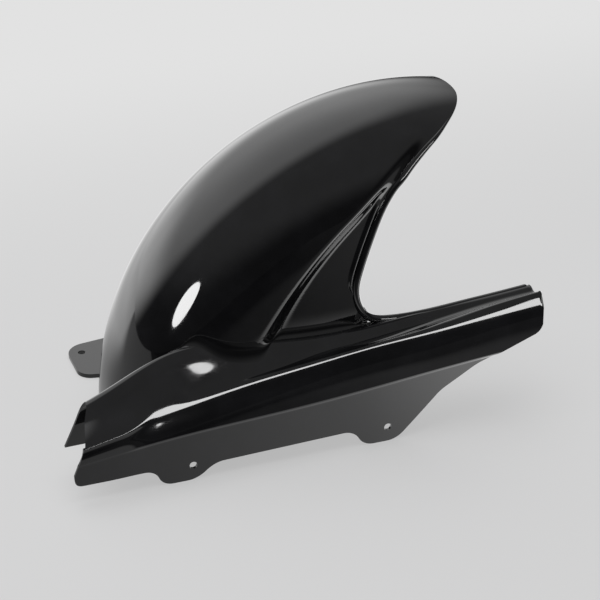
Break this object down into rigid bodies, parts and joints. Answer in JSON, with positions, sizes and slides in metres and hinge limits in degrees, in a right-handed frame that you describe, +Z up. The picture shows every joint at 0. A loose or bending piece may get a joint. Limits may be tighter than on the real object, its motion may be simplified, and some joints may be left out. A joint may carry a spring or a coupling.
{
  "type": "rear hugger mudguard",
  "caption": "Rear hugger mudguard: a domed wheel arch with a sunk web and an open fin edge, moulded in one with a chain guard and its fixing tabs.",
  "frame": {"origin": "on the wheel axle, in the wheel's middle plane; the ground plane that the front edge and the tabs rest on goes through it", "axes": "+X to the rear of the motorcycle, +Z up, -Y to the chain side"},
  "size_m": [0.5079, 0.31, 0.338],
  "materials": {
    "shell": "gloss"
  },
  "bodies": {
    "root": {"hugger_shell": "shell"}
  },
  "joints": []
}
